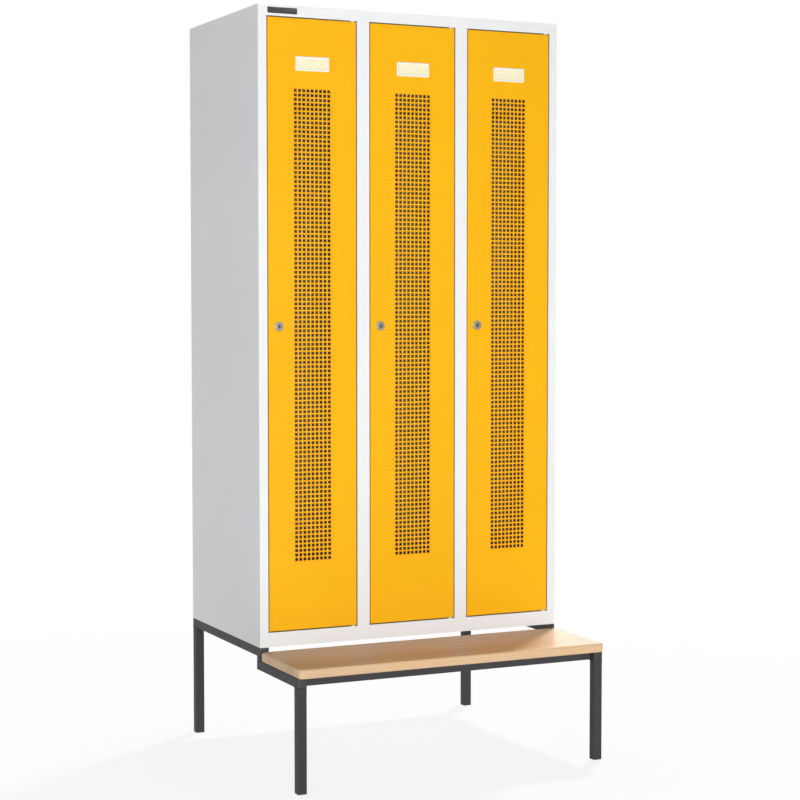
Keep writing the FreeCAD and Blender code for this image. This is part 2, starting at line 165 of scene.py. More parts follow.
# %% [markdown]
# Where an edge is
#
# Paint is thinner on an edge and takes the knocks there. The Bevel node returns the normal that a rounded
# edge would have. Where it differs from the true normal, an edge is near. It needs no painted mask and works
# on any mesh, which a mask stored on the corners of long thin triangles wouldn't.

# %% Edge mask
facing_near_edge = (0.98, 0.78)
edge_samples = 4


def edge_nearness(tree, reach):
    soft = put(tree, "Bevel", {"Radius": reach}, samples=edge_samples)
    true = put(tree, "NewGeometry", {}, "Normal")
    facing = vector(tree, "DOT_PRODUCT", soft, true, "Value")
    return remap(tree, facing, facing_near_edge, whole)


print("edge mask: full where normals part by", round(math.degrees(math.acos(facing_near_edge[1]))), "degrees")

# %% [markdown]
# Painted shade inside
#
# The faces inside the shell get a darker tone of the grey. This is painted shade: the coat is the same
# inside, but little light gets in, and so the space behind the perforated strips looks dark. A sheet is
# 1 mm thick, so its two faces can be told apart by place alone: a point is inside when it lies more than
# half a sheet within the shell's box. Painting each face by hand would have to be done again for every
# change of size.

# %% Inside mask
half_sheet = 0.5 * mm
shell_low = Vector((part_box("side_panel_left")[0].x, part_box("roof")[0].y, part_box("floor_pan")[0].z))
shell_high = Vector((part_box("side_panel_right")[1].x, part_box("roof")[1].y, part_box("roof")[1].z))


def inside_share(tree, place):
    reach = (shell_high - shell_low) / 2 - Vector((half_sheet, half_sheet, half_sheet))
    from_middle = vector(tree, "SUBTRACT", place, (shell_low + shell_high) / 2)
    away = put(tree, "VectorMath", {0: from_middle}, operation="ABSOLUTE")
    x, y, z = along_axes(tree, vector(tree, "SUBTRACT", away, reach))
    furthest = calculate(tree, "MAXIMUM", calculate(tree, "MAXIMUM", x, y), z)
    return calculate(tree, "LESS_THAN", furthest, 0.0)


print("shell:", [round(side, 3) for side in shell_high - shell_low])

# %% [markdown]
# Powder coat
#
# Cabinet, doors and tubes are all powder-coated steel. The coat melts into a skin with a slight orange
# peel, its tone drifts a little over a large sheet, and it shines like eggshell. One function makes them
# all, and only the colours, the roughness, the size of the peel and the painted shade inside differ.

# %% Powder coat
coat_shine = 0.10
coat_roughness_spread = (-0.05, 0.07)
# Painted shade: how much darker the faces inside the shell are, for the little light that gets in.
inside_shade_tone = 0.70
drift_scale, drift_tones = 2.2, (0.965, 1.02)
speck_scale, speck_range = 420.0, (0.45, 0.62)
wear_reach, wear_share = 1.2 * mm, 0.4
smudge_scale = 9.0
peel_depth_share = 0.05


def worn_edges(tree, place, coat, worn):
    specks = remap(tree, noise(tree, place, speck_scale, detail=3.0, rough=0.7), speck_range, whole)
    wear = calculate(tree, "MULTIPLY", edge_nearness(tree, wear_reach), specks)
    return mixed(tree, calculate(tree, "MULTIPLY", wear, wear_share), coat, worn)


def powder_coat(name, colour, roughness, peel, worn, painted_shade_inside=False):
    material, tree, shader = new_finish(name)
    place = object_place(tree)
    drift = remap(tree, noise(tree, place, drift_scale, detail=3.0), noise_middle, whole)
    coat = mixed(tree, drift, tone(colour, drift_tones[0]), tone(colour, drift_tones[1]))
    # Painted shade: faces inside the shell are darkened.
    if painted_shade_inside:
        coat = mixed(tree, inside_share(tree, place), coat, tone(colour, inside_shade_tone))
    wire(tree, worn_edges(tree, place, coat, worn), shader["Base Color"])
    smudge = noise(tree, place, smudge_scale, detail=5.0, rough=0.6)
    roughness_range = around(roughness, coat_roughness_spread)
    wire(tree, remap(tree, smudge, noise_middle, roughness_range), shader["Roughness"])
    skin = noise(tree, place, 1 / peel, detail=2.0, rough=0.4)
    wire(tree, relief(tree, skin, peel_depth_share * peel), shader["Normal"])
    shader["Specular IOR Level"].default_value = coat_shine
    return material


print("powder coat: peel", peel_depth_share, "of its size deep")

# %% [markdown]
# The coats in use
#
# The cabinet is light grey, the doors yellow, the frame dark grey. The perforated strips get a deeper
# yellow, which is painted bounce light: their punched edges face each other, so light bounces from yellow
# to yellow, and a few bounces between faces 1 mm high cost the renderer more than a warmer tone does.

# %% Coats
sheet_peel, tube_peel = 1.6 * mm, 1.1 * mm
grey_roughness, yellow_roughness, dark_roughness = 0.42, 0.40, 0.45
light_grey, grey_edge = (0.85, 0.866, 0.873, 1), (0.92, 0.92, 0.92, 1)
yellow, yellow_edge = (0.95, 0.475, 0.008, 1), (0.98, 0.62, 0.08, 1)
# Painted bounce light: the strips' yellow is deeper than the doors' yellow.
strip_yellow_painted_bounce, strip_edge_painted_bounce = (0.96, 0.435, 0.006, 1), (0.98, 0.58, 0.06, 1)
dark_grey, dark_edge = (0.052, 0.052, 0.055, 1), (0.16, 0.16, 0.16, 1)

finishes = {
    # The grey cabinet is darkened inside as painted shade.
    "cabinet_grey": powder_coat(
        "light grey coat", light_grey, grey_roughness, sheet_peel, grey_edge, painted_shade_inside=True
    ),
    "door_yellow": powder_coat("yellow coat", yellow, yellow_roughness, sheet_peel, yellow_edge),
    "frame_dark": powder_coat("dark grey coat", dark_grey, dark_roughness, tube_peel, dark_edge),
}
# The strips' coat carries painted bounce light in its deeper yellow.
strip_coat_painted_bounce = powder_coat("yellow coat with painted bounce light", strip_yellow_painted_bounce, yellow_roughness, sheet_peel, strip_edge_painted_bounce)
print("coats:", [made.name for made in finishes.values()], strip_coat_painted_bounce.name)

# %% [markdown]
# Beech staves and rings
#
# The seat is a beech panel glued up from staves that run its whole length. A picture of wood would only
# fit one face. Here the rings are modelled in space instead: each stave has its own heart line somewhere
# below it, the distance from that line gives the rings, and so the top shows long streaks while the ends
# show arcs. A shift of its own keeps each stave's pattern from running on into the next.

# %% Staves and rings
stave_width = 46 * mm
stave_shift = 7.0
heart_height, heart_spread = 250 * mm, (-50 * mm, 50 * mm)
ring_spacing, ring_bend = 5.5 * mm, 30 * mm
ring_stretch = (1.6, 14.0, 14.0)
late_wood = (0.35, 1.0)


def stave(tree, y):
    across = calculate(tree, "DIVIDE", y, stave_width)
    number = calculate(tree, "FLOOR", across)
    chance = put(tree, "TexWhiteNoise", {"W": number}, "Value", noise_dimensions="1D")
    return calculate(tree, "FRACT", across), chance


def stave_place(tree, place, chance):
    shift = put(tree, "CombineXYZ", {0: calculate(tree, "MULTIPLY", chance, stave_shift), 1: chance, 2: 0.0})
    return vector(tree, "ADD", place, shift)


def growth_rings(tree, own, across, chance, z):
    heart_y = remap(tree, chance, whole, heart_spread)
    from_heart_y = calculate(tree, "ADD", calculate(tree, "MULTIPLY", across, stave_width), heart_y)
    from_heart_z = calculate(tree, "SUBTRACT", z, heart_height)
    radius = vector_length(tree, put(tree, "CombineXYZ", {0: 0.0, 1: from_heart_y, 2: from_heart_z}))
    bent = calculate(tree, "MULTIPLY", streaks(tree, own, ring_stretch, detail=3.0), ring_bend)
    rings = calculate(tree, "DIVIDE", calculate(tree, "ADD", radius, bent), ring_spacing)
    return remap(tree, calculate(tree, "FRACT", rings), late_wood, whole)


print("staves", stave_width / mm, "mm wide, rings", ring_spacing / mm, "mm apart")

# %% [markdown]
# Beech under varnish
#
# Short dark flecks are what tells beech from pine, and fine fibres run along each stave. Every stave has a
# tone of its own, and a thin line of glue parts it from the next. The varnish is worn silky: its roughness
# is middling and follows the fibres.

# %% Beech
beech_light, beech_deep, beech_brown = (0.83, 0.60, 0.385, 1), (0.60, 0.37, 0.19, 1), (0.33, 0.18, 0.085, 1)
fibre_stretch, fleck_stretch = (9.0, 420.0, 420.0), (190.0, 1500.0, 1500.0)
fleck_range, fibre_range = (0.63, 0.70), (0.45, 0.75)
stave_tones, fibre_tones = (0.0, 0.70), (0.0, 0.55)
late_wood_share, fleck_share = 0.45, 0.5
glue_range, glue_tones = (0.493, 0.5), (0.0, 0.5)
varnish_shine, varnish_roughness = 0.2, (0.34, 0.46)
varnish_coat, varnish_coat_roughness = 0.08, 0.3
grain_depth = 0.06 * mm


def glue_line(tree, across):
    from_middle = calculate(tree, "ABSOLUTE", calculate(tree, "SUBTRACT", across, 0.5))
    return remap(tree, from_middle, glue_range, glue_tones)


def beech(name):
    material, tree, shader = new_finish(name)
    place = object_place(tree)
    y, z = along_axes(tree, place)[1:]
    across, chance = stave(tree, y)
    own = stave_place(tree, place, chance)
    late = growth_rings(tree, own, across, chance, z)
    fibre = streaks(tree, own, fibre_stretch, detail=4.0, rough=0.65)
    fleck = remap(tree, streaks(tree, own, fleck_stretch, detail=1.0), fleck_range, whole)

    body = mixed(tree, remap(tree, chance, whole, stave_tones), beech_light, beech_deep)
    body = mixed(tree, calculate(tree, "MULTIPLY", late, late_wood_share), body, beech_deep)
    body = mixed(tree, remap(tree, fibre, fibre_range, fibre_tones), body, beech_deep)
    body = mixed(tree, calculate(tree, "MULTIPLY", fleck, fleck_share), body, beech_brown)
    wire(tree, mixed(tree, glue_line(tree, across), body, beech_brown), shader["Base Color"])

    wire(tree, remap(tree, fibre, noise_middle, varnish_roughness), shader["Roughness"])
    grain_height = calculate(tree, "SUBTRACT", fibre, fleck)
    wire(tree, relief(tree, grain_height, grain_depth), shader["Normal"])
    shader["Specular IOR Level"].default_value = varnish_shine
    shader["Coat Weight"].default_value = varnish_coat
    shader["Coat Roughness"].default_value = varnish_coat_roughness
    return material


finishes["bench_wood"] = beech("varnished beech")
print("wood:", finishes["bench_wood"].name)

# %% [markdown]
# Plated metal
#
# Screws, bolts, pins and cams are zinc plated: dull, cloudy, with a faint yellow and blue cast. Locks, coat
# rails and hooks are nickel plated, darker and a little smoother, and the lock plugs are darker still. All
# are full metals, and what makes them real is the uneven roughness and the fine scratches, which a clean
# mirror lacks.

# %% Plated metal
cloud_range = (0.35, 0.65)
scratch_stretch, scratch_depth = (90.0, 1800.0, 1800.0), 0.02 * mm
plate_roughness_spread = (-0.06, 0.10)
zinc_cool, zinc_warm = (0.56, 0.60, 0.64, 1), (0.66, 0.62, 0.52, 1)
nickel_cool, nickel_warm = (0.28, 0.268, 0.24, 1), (0.34, 0.31, 0.26, 1)
# The lock plugs get a much darker nickel than the roses and rails.
dark_plug_cool, dark_plug_warm = (0.12, 0.114, 0.10, 1), (0.16, 0.145, 0.12, 1)


def plated(name, cool, warm, roughness, cloud):
    material, tree, shader = new_finish(name)
    place = object_place(tree)
    cast = remap(tree, noise(tree, place, cloud, detail=4.0), cloud_range, whole)
    wire(tree, mixed(tree, cast, cool, warm), shader["Base Color"])
    shader["Metallic"].default_value = 1.0
    scratch = streaks(tree, place, scratch_stretch, detail=3.0, rough=0.7)
    roughness_range = around(roughness, plate_roughness_spread)
    wire(tree, remap(tree, scratch, noise_middle, roughness_range), shader["Roughness"])
    wire(tree, relief(tree, scratch, scratch_depth), shader["Normal"])
    return material


finishes["zinc_steel"] = plated("zinc plate", zinc_cool, zinc_warm, roughness=0.38, cloud=60.0)
finishes["nickel"] = plated("nickel plate", nickel_cool, nickel_warm, roughness=0.34, cloud=25.0)
# The lock plugs get the darker nickel.
plug_plate = plated("darker nickel plate for the plugs", dark_plug_cool, dark_plug_warm, roughness=0.42, cloud=90.0)
print("plated:", finishes["zinc_steel"].name, finishes["nickel"].name, plug_plate.name)

# %% [markdown]
# Plastic, rubber and card
#
# Feet, end plugs, bushes, buffers, label holders and label cards are small moulded or cut pieces. A moulded
# surface has a fine grain from its tool, card has fibres. One function covers them. Its settings are the
# colour, the roughness, the size and depth of the grain, and how far the tone is spread.

# %% Plastic, rubber and card
mottle_scale = 110.0
pit_range = (0.0, 0.8)
moulded_roughness_spread = (-0.05, 0.06)
mouldings = {
    "black_plastic": ("black moulding", (0.022, 0.022, 0.023, 1), 0.46, 0.7 * mm, 0.05 * mm, 0.12),
    "white_nylon": ("white nylon", (0.78, 0.78, 0.74, 1), 0.45, 0.9 * mm, 0.02 * mm, 0.03),
    "black_rubber": ("black rubber", (0.018, 0.018, 0.018, 1), 0.78, 0.5 * mm, 0.05 * mm, 0.20),
    "label_plastic": ("label holder", (0.86, 0.86, 0.82, 1), 0.26, 1.2 * mm, 0.01 * mm, 0.02),
    "label_card": ("label card", (0.90, 0.845, 0.585, 1), 0.75, 0.4 * mm, 0.02 * mm, 0.03),
}


def moulded(name, colour, roughness, grain, depth, spread):
    material, tree, shader = new_finish(name)
    place = object_place(tree)
    mottle = remap(tree, noise(tree, place, mottle_scale, detail=4.0, rough=0.6), noise_middle, whole)
    wire(tree, mixed(tree, mottle, tone(colour, 1 - spread), tone(colour, 1 + spread)), shader["Base Color"])
    pits = put(tree, "TexVoronoi", {"Vector": place, "Scale": 1 / grain}, "Distance")
    roughness_range = around(roughness, moulded_roughness_spread)
    wire(tree, remap(tree, pits, pit_range, roughness_range), shader["Roughness"])
    wire(tree, relief(tree, pits, depth), shader["Normal"])
    return material


finishes.update({slot: moulded(*settings) for slot, settings in mouldings.items()})
print("moulded and cut:", len(mouldings), "of", len(finishes), "finishes")

# %% [markdown]
# Dressing the solids
#
# The record says which finish each solid has, so one loop gives every solid its material. The strips take
# their yellow with painted bounce light afterwards, and the plugs their darker plate. The meshes stay as
# they are.

# %% Dress the solids
for node_name, node_object in frame["nodes"].items():
    node_object.data.materials.clear()
    node_object.data.materials.append(finishes[slot_of_node[node_name]])
for number in leaf_numbers:
    # The strips get their yellow with painted bounce light.
    frame["nodes"][f"perforated_panel_{number}"].data.materials[0] = strip_coat_painted_bounce
    frame["nodes"][f"lock_plug_{number}"].data.materials[0] = plug_plate
print("dressed", len(frame["nodes"]), "solids")

# %% [markdown]
# Building with rings
#
# Most small pieces here are stacks of outlines: a foot is a rounded square that grows and shrinks as it
# rises, a lock rose is a circle that does. A loft joins each outline to the next with quads. Where the
# last ring joins the first again, the result is a frame or a tube. Modifiers could give the same rounding,
# but the rings put every edge exactly where it should be.

# %% Outlines
corner_steps = 6
circle_steps = 72


def rounded_rectangle(width, height, radius):
    points = []
    for quarter, (side_a, side_b) in enumerate(((1, 1), (-1, 1), (-1, -1), (1, -1))):
        middle = Vector((side_a * (width / 2 - radius), side_b * (height / 2 - radius)))
        for step in range(corner_steps + 1):
            angle = math.pi / 2 * (quarter + step / corner_steps)
            points.append(middle + radius * Vector((math.cos(angle), math.sin(angle))))
    return points


def circle(radius):
    angles = [math.tau * step / circle_steps for step in range(circle_steps)]
    return [radius * Vector((math.cos(angle), math.sin(angle))) for angle in angles]


def upright_ring(outline, middle, depth):
    return [Vector((middle.x + point.x, depth, middle.z + point.y)) for point in outline]


def flat_ring(outline, middle, z):
    return [Vector((middle.x + point.x, middle.y + point.y, z)) for point in outline]


print("outlines: circles of", circle_steps, "points, rectangles of", 4 * (corner_steps + 1))

# %% [markdown]
# From rings to a piece
#
# A piece is a mesh with its finish, shaded smooth except across real edges. It rides on the body that
# carries it, so it moves with its door, and it may stand for a solid, which is then hidden.

# %% Lofts and pieces
sharp_from = math.radians(32)


def loft(bm, rings, closed=False):
    loops = [[bm.verts.new(point) for point in ring] for ring in rings]
    pairs = list(zip(loops, loops[1:]))
    if closed:
        pairs.append((loops[-1], loops[0]))
    for low, high in pairs:
        for index in range(len(low)):
            after = (index + 1) % len(low)
            bm.faces.new((low[index], low[after], high[after], high[index]))
    if not closed:
        bm.faces.new(list(reversed(loops[0])))
        bm.faces.new(loops[-1])


def piece(name, bm, body, slot, replaced=()):
    bmesh.ops.recalc_face_normals(bm, faces=bm.faces)
    mesh = bpy.data.meshes.new(name)
    bm.to_mesh(mesh)
    bm.free()
    mesh.materials.append(finishes[slot])
    mesh.shade_smooth()
    mesh.set_sharp_from_angle(angle=sharp_from)
    made = bpy.data.objects.new(name, mesh)
    bpy.context.scene.collection.objects.link(made)
    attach(made, body)
    if replaced:
        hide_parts(*replaced)
    print("made", name, "with", len(mesh.polygons), "faces")


print("pieces: edges stay sharp from", round(math.degrees(sharp_from)), "degrees")

# %% [markdown]
# Lock roses
#
# Each door has a cam lock near its left edge. What shows is the rose, a turned ring with a raised collar
# round the plug, a shallow dish and a rolled rim. Turning is what a lathe does, so the piece is a profile of
# radius and depth carried round the lock's axis, from the collar out to the rim and back along the barrel.

# %% Lock roses
bore_gap = 0.05 * mm
barrel_wall = 3 * mm
rose_profile_shares = (
    (0.00, 0.08), (0.03, 0.00), (0.19, 0.00), (0.25, 0.17), (0.68, 0.30),
    (0.80, 0.25), (0.90, 0.32), (0.97, 0.50), (1.00, 0.73), (1.00, 1.00),
)


def lock_rose(number):
    low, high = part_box(f"lock_body_{number}")
    plug_low, plug_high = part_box(f"lock_plug_{number}")
    door_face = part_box(f"door_{number}")[0].y
    rim = (high.x - low.x) / 2
    bore = (plug_high.x - plug_low.x) / 2 + bore_gap
    barrel = bore + barrel_wall
    wide, deep = rim - bore, door_face - low.y
    profile = [(bore + out * wide, low.y + back * deep) for out, back in rose_profile_shares]
    profile += [(barrel, door_face), (barrel, high.y), (bore, high.y)]
    rings = [upright_ring(circle(radius), (low + high) / 2, depth) for radius, depth in profile]
    bm = bmesh.new()
    loft(bm, rings, closed=True)
    piece(f"lock_rose_{number}", bm, f"door_leaf_{number}", "nickel", [f"lock_body_{number}"])


for number in leaf_numbers:
    lock_rose(number)

# %% [markdown]
# Label holders
#
# A holder is a shallow frame with soft outer corners. Its inner lip slopes down to the card and covers the
# card's edge. A window cut out of a block would have sharp edges, so the section of the frame is drawn once,
# as inset and rise in millimetres, and carried round the outline.

# %% Label holders
holder_corner = 3 * mm
tightest_corner = 0.7 * mm
holder_section = (
    (0.0, 0.0), (0.0, 1.5), (0.35, 2.1), (1.0, 2.4), (3.5, 2.4),
    (4.6, 1.6), (5.0, 0.85), (2.8, 0.8), (2.8, 0.0),
)


def inset_ring(low, high, inset, corner, place):
    width, height = high.x - low.x - 2 * inset, high.z - low.z - 2 * inset
    outline = rounded_rectangle(width, height, max(corner - inset, tightest_corner))
    return upright_ring(outline, (low + high) / 2, place)


def raised_rings(low, high, corner, section):
    return [inset_ring(low, high, inset * mm, corner, high.y - rise * mm) for inset, rise in section]


def label_holder(number):
    low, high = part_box(f"label_frame_{number}")
    bm = bmesh.new()
    loft(bm, raised_rings(low, high, holder_corner, holder_section), closed=True)
    piece(f"label_holder_{number}", bm, f"door_leaf_{number}", "label_plastic", [f"label_frame_{number}"])


for number in leaf_numbers:
    label_holder(number)

# %% [markdown]
# Blank plate
#
# A small dark plate sits on the top rail. It stays bare here: a field inside a raised rim, held by two
# rivets with domed heads. Rim and rivets are sections again, the rivets with a radius in place of an inset,
# because a modelled rim catches the light and a drawn one wouldn't.

# %% Blank plate
plate_corner = 2 * mm
plate_section = ((0.0, 0.0), (0.0, 0.8), (0.3, 1.1), (0.7, 1.2), (1.5, 1.2), (1.9, 0.85))
rivet_section = ((2.0, 0.5), (2.0, 0.9), (1.8, 1.25), (1.2, 1.5), (0.5, 1.6))
rivet_from_end = 6 * mm


def turned_rings(middle, face, outward, section):
    return [upright_ring(circle(radius * mm), middle, face + outward * rise * mm) for radius, rise in section]


def blank_plate():
    low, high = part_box("name_plate")
    bm = bmesh.new()
    loft(bm, raised_rings(low, high, plate_corner, plate_section))
    for x in (low.x + rivet_from_end, high.x - rivet_from_end):
        middle = Vector((x, 0, (low.z + high.z) / 2))
        loft(bm, turned_rings(middle, high.y, -1, rivet_section))
    piece("blank_plate", bm, "carcass", "black_plastic", ["name_plate"])


blank_plate()

# %% [markdown]
# Feet and end plugs
#
# Black mouldings close the tubes: a foot under each leg and a plug in each open rail end. They are rounded
# squares as wide as the tube, with a stub that holds them inside it. The legs' and rails' own boxes give
# their places, so a foot always sits under its leg.

# %% Feet and end plugs
tube_corner = 2 * mm
legs = ("rear_leg_left", "rear_leg_right", "front_leg_left", "front_leg_right")
side_rails = ("upper_rail_left", "upper_rail_right", "lower_rail_left", "lower_rail_right")
foot_section = (
    (1.4, 0.0), (0.5, 0.25), (0.0, 1.0), (0.0, 3.4), (0.35, 4.0), (1.65, 4.0), (1.65, 15.0), (2.8, 19.0),
)
plug_section = (
    (2.6, -14.0), (1.65, -10.0), (1.65, 0.0), (0.3, 0.0), (0.0, 0.4),
    (0.0, 1.0), (0.4, 1.6), (1.4, 1.95), (4.0, 2.0),
)


def level_ring(low, high, inset, z):
    width, depth = high.x - low.x - 2 * inset, high.y - low.y - 2 * inset
    outline = rounded_rectangle(width, depth, max(tube_corner - inset, tightest_corner))
    return flat_ring(outline, (low + high) / 2, z)


def moulded_feet():
    bm = bmesh.new()
    for leg in legs:
        low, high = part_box(leg)
        loft(bm, [level_ring(low, high, inset * mm, rise * mm) for inset, rise in foot_section])
    piece("moulded_feet", bm, "carcass", "black_plastic", ["foot_caps"])


def moulded_plugs():
    bm = bmesh.new()
    for rail in side_rails:
        low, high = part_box(rail)
        for end, outward in ((low.y, -1), (high.y, 1)):
            places = [(inset * mm, end + outward * out * mm) for inset, out in plug_section]
            loft(bm, [inset_ring(low, high, inset, tube_corner, place) for inset, place in places])
    piece("moulded_plugs", bm, "carcass", "black_plastic", ["tube_plugs"])


moulded_feet()
moulded_plugs()

# %% [markdown]
# A weld bead
#
# The tubes are welded where they meet, and the coat runs over the beads. A bead is a thin rod along the seam
# whose radius rises and falls with each drop of metal. Sines of different lengths keep it from looking
# machined, and give the same bead on every run.

# %% Weld bead
bead_radius = 1.1 * mm
bead_step = 0.8 * mm
bead_sides = 8
drop_length = 2.3 * mm
drop_share, unsteady_share = 0.16, 0.05
unsteady_lengths = (3.1, 1.7)


def even_points(outline, step):
    points = []
    for first, second in zip(outline, outline[1:] + outline[:1]):
        count = max(1, round((second - first).length / step))
        points += [first.lerp(second, index / count) for index in range(count)]
    return points


def bead_thickness(run):
    drops = math.sin(math.tau * run / drop_length)
    unsteady = sum(math.sin(run / (length * drop_length)) for length in unsteady_lengths)
    return bead_radius * (1 + drop_share * drops + unsteady_share * unsteady)


def weld(bm, middle, across, up, size):
    axis = across.cross(up)
    points = even_points(rounded_rectangle(size, size, tube_corner), bead_step)
    turns = [math.tau * side / bead_sides for side in range(bead_sides)]
    rings = []
    for index, point in enumerate(points):
        ahead = (points[(index + 1) % len(points)] - points[index - 1]).normalized()
        outward = across * ahead.y - up * ahead.x
        seam = middle + across * point.x + up * point.y
        thick = bead_thickness(index * bead_step)
        rings.append([seam + thick * (math.cos(turn) * outward + math.sin(turn) * axis) for turn in turns])
    loft(bm, rings, closed=True)


print("weld bead:", bead_radius / mm, "mm, drops", drop_length / mm, "mm apart")

# %% [markdown]
# The frame's welds
#
# Each leg has a seam round its top and each cross rail one at both ends. The beads go into one mesh, because
# they share a finish and never move apart.

# %% Frame welds
along_x, along_y, along_z = Vector((1, 0, 0)), Vector((0, 1, 0)), Vector((0, 0, 1))
cross_rails = ("rear_cross_rail", "bench_cross_rail")


def weld_beads():
    bm = bmesh.new()
    for leg in legs:
        low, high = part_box(leg)
        middle = (low + high) / 2
        weld(bm, Vector((middle.x, middle.y, high.z)), along_x, along_y, high.x - low.x)
    for rail in cross_rails:
        low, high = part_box(rail)
        middle = (low + high) / 2
        for x in (low.x, high.x):
            weld(bm, Vector((x, middle.y, middle.z)), along_y, along_z, high.z - low.z)
    piece("weld_beads", bm, "carcass", "frame_dark")


weld_beads()

# %% [markdown]
# Spot welds
#
# The back is a plain sheet, but not a blank one. The skirts of the hat shelves and the edges of the two
# partitions are welded to it, and each weld leaves a shallow dished mark with a low rim under the coat. A
# bump in the material could draw them too, but as small turned pieces they catch the light from any side.

# %% Spot welds
mark_section = ((5.2, 0.0), (4.8, 0.25), (4.1, 0.70), (3.5, 0.75), (2.4, 0.25), (0.8, 0.15))
marks_per_shelf = 4
marks_per_partition = 12


def evenly_between(low, high, count):
    step = (high - low) / count
    return [low + step * (index + 0.5) for index in range(count)]


def weld_mark_places():
    places = []
    for number in leaf_numbers:
        low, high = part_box(f"hat_shelf_{number}")
        places += [(x, (low.z + high.z) / 2) for x in evenly_between(low.x, high.x, marks_per_shelf)]
    for partition in ("partition_1", "partition_2"):
        low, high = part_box(partition)
        places += [((low.x + high.x) / 2, z) for z in evenly_between(low.z, high.z, marks_per_partition)]
    return places


def spot_welds():
    back_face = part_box("back_panel")[1].y
    bm = bmesh.new()
    for x, z in weld_mark_places():
        loft(bm, turned_rings(Vector((x, 0, z)), back_face, 1, mark_section))
    piece("spot_welds", bm, "carcass", "cabinet_grey")


spot_welds()

# %% [markdown]
# Where the screws are
#
# All screws are one solid node, and so are the bolts. Their places are read from the node's mesh: points
# that are joined by edges belong to one screw, and the middle of that group is its axis.

# %% Fastener places
same_point = 0.01 * mm


def linked_groups(bm):
    left, groups = set(bm.verts), []
    while left:
        group, front = set(), [left.pop()]
        while front:
            vert = front.pop()
            group.add(vert)
            near = {edge.other_vert(vert) for edge in vert.link_edges} & left
            left -= near
            front += near
        groups.append(group)
    return groups


def fastener_middles(node):
    bm = bmesh.new()
    bm.from_mesh(frame["nodes"][node].data)
    bmesh.ops.remove_doubles(bm, verts=bm.verts, dist=same_point)
    middles = []
    for group in linked_groups(bm):
        xs, ys = [vert.co.x for vert in group], [vert.co.y for vert in group]
        middles.append(Vector(((min(xs) + max(xs)) / 2, (min(ys) + max(ys)) / 2, 0)))
    bm.free()
    return sorted(middles, key=lambda middle: (round(middle.x, 4), round(middle.y, 4)))


screw_middles, bolt_middles = fastener_middles("bench_screws"), fastener_middles("frame_bolts")
print("found", len(screw_middles), "screws and", len(bolt_middles), "bolts")

# %% [markdown]
# Screws
#
# Screws hold the seat from below. A screw is a turned pan head with a star-shaped recess, which is a circle
# whose radius swings six times round. Its rings run from the point in the wood down to the head and back up
# into the recess.

# %% Screws
star_points, star_swing_share = 6, 0.2
screw_point, screw_shank, screw_head = 0.3 * mm, 2.5 * mm, 5.0 * mm
point_length, head_edge = 4 * mm, 0.8 * mm
pan_section = ((4.5, 0.6), (3.6, 0.1), (2.6, 0.0))
recess_section = ((2.1, 0.0), (1.8, 1.6))


def star(radius):
    swings = [math.cos(star_points * math.tau * step / circle_steps) for step in range(circle_steps)]
    return [point * (1 + star_swing_share * swing) for point, swing in zip(circle(radius), swings)]


def star_screws():
    low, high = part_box("bench_screws")
    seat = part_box("lower_rail_left")[0].z
    turned = [(screw_point, high.z), (screw_shank, high.z - point_length), (screw_shank, seat)]
    turned += [(screw_head, seat), (screw_head, seat - head_edge)]
    turned += [(radius * mm, low.z + rise * mm) for radius, rise in pan_section]
    bm = bmesh.new()
    for middle in screw_middles:
        rings = [flat_ring(circle(radius), middle, z) for radius, z in turned]
        rings += [flat_ring(star(radius * mm), middle, low.z + rise * mm) for radius, rise in recess_section]
        loft(bm, rings)
    piece("star_screws", bm, "carcass", "zinc_steel", ["bench_screws"])


star_screws()

# %% [markdown]
# Bolts
#
# Bolts hold the cabinet on its frame, with their heads inside on the floor pan. A head is a hexagon with its
# corners turned off at the top. Its outline moves the points of a circle out to the flats, and no further
# than a largest radius, so shank and head have the same number of points and are one loft.

# %% Bolts
floor_thickness = 1 * mm
flat_turn = math.tau / 6
bolt_flats = 13 * mm
shank_section = ((3.2, 0.0), (4.0, 1.0))
shank_radius = 4.0 * mm
head_foot_section = ((6.6, 0.0), (8.0, 0.5))
head_top_section = ((8.0, 1.0), (6.7, 0.0))


def turned_hexagon(largest):
    outline = []
    for step, point in enumerate(circle(1.0)):
        from_flat = (math.tau * step / circle_steps) % flat_turn - flat_turn / 2
        outline.append(point * min(bolt_flats / 2 / math.cos(from_flat), largest))
    return outline


def hexagon_bolts():
    low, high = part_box("frame_bolts")
    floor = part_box("floor_pan")[0].z + floor_thickness
    shank = [(radius * mm, low.z + rise * mm) for radius, rise in shank_section] + [(shank_radius, floor)]
    head = [(largest * mm, floor + rise * mm) for largest, rise in head_foot_section]
    head += [(largest * mm, high.z - drop * mm) for largest, drop in head_top_section]
    bm = bmesh.new()
    for middle in bolt_middles:
        rings = [flat_ring(circle(radius), middle, z) for radius, z in shank]
        rings += [flat_ring(turned_hexagon(largest), middle, z) for largest, z in head]
        loft(bm, rings)
    piece("hexagon_bolts", bm, "carcass", "zinc_steel", ["frame_bolts"])


hexagon_bolts()

# %% [markdown]
# World
#
# The photograph is a cut-out on white. Rays from the camera see the world as white, so the white needs no
# extra light. Mirrors see the same white, because metal would otherwise reflect a grey room. All other rays
# see a dim sky, which only lifts the shadows.

# %% World
white_light = (1.0, 1.0, 1.0, 1.0)
sky_level = 0.13


def seen_directly(tree):
    path = tree.nodes.new("ShaderNodeLightPath").outputs
    either = calculate(tree, "MAXIMUM", path["Is Camera Ray"], path["Is Glossy Ray"])
    return calculate(tree, "MAXIMUM", either, path["Is Transmission Ray"])


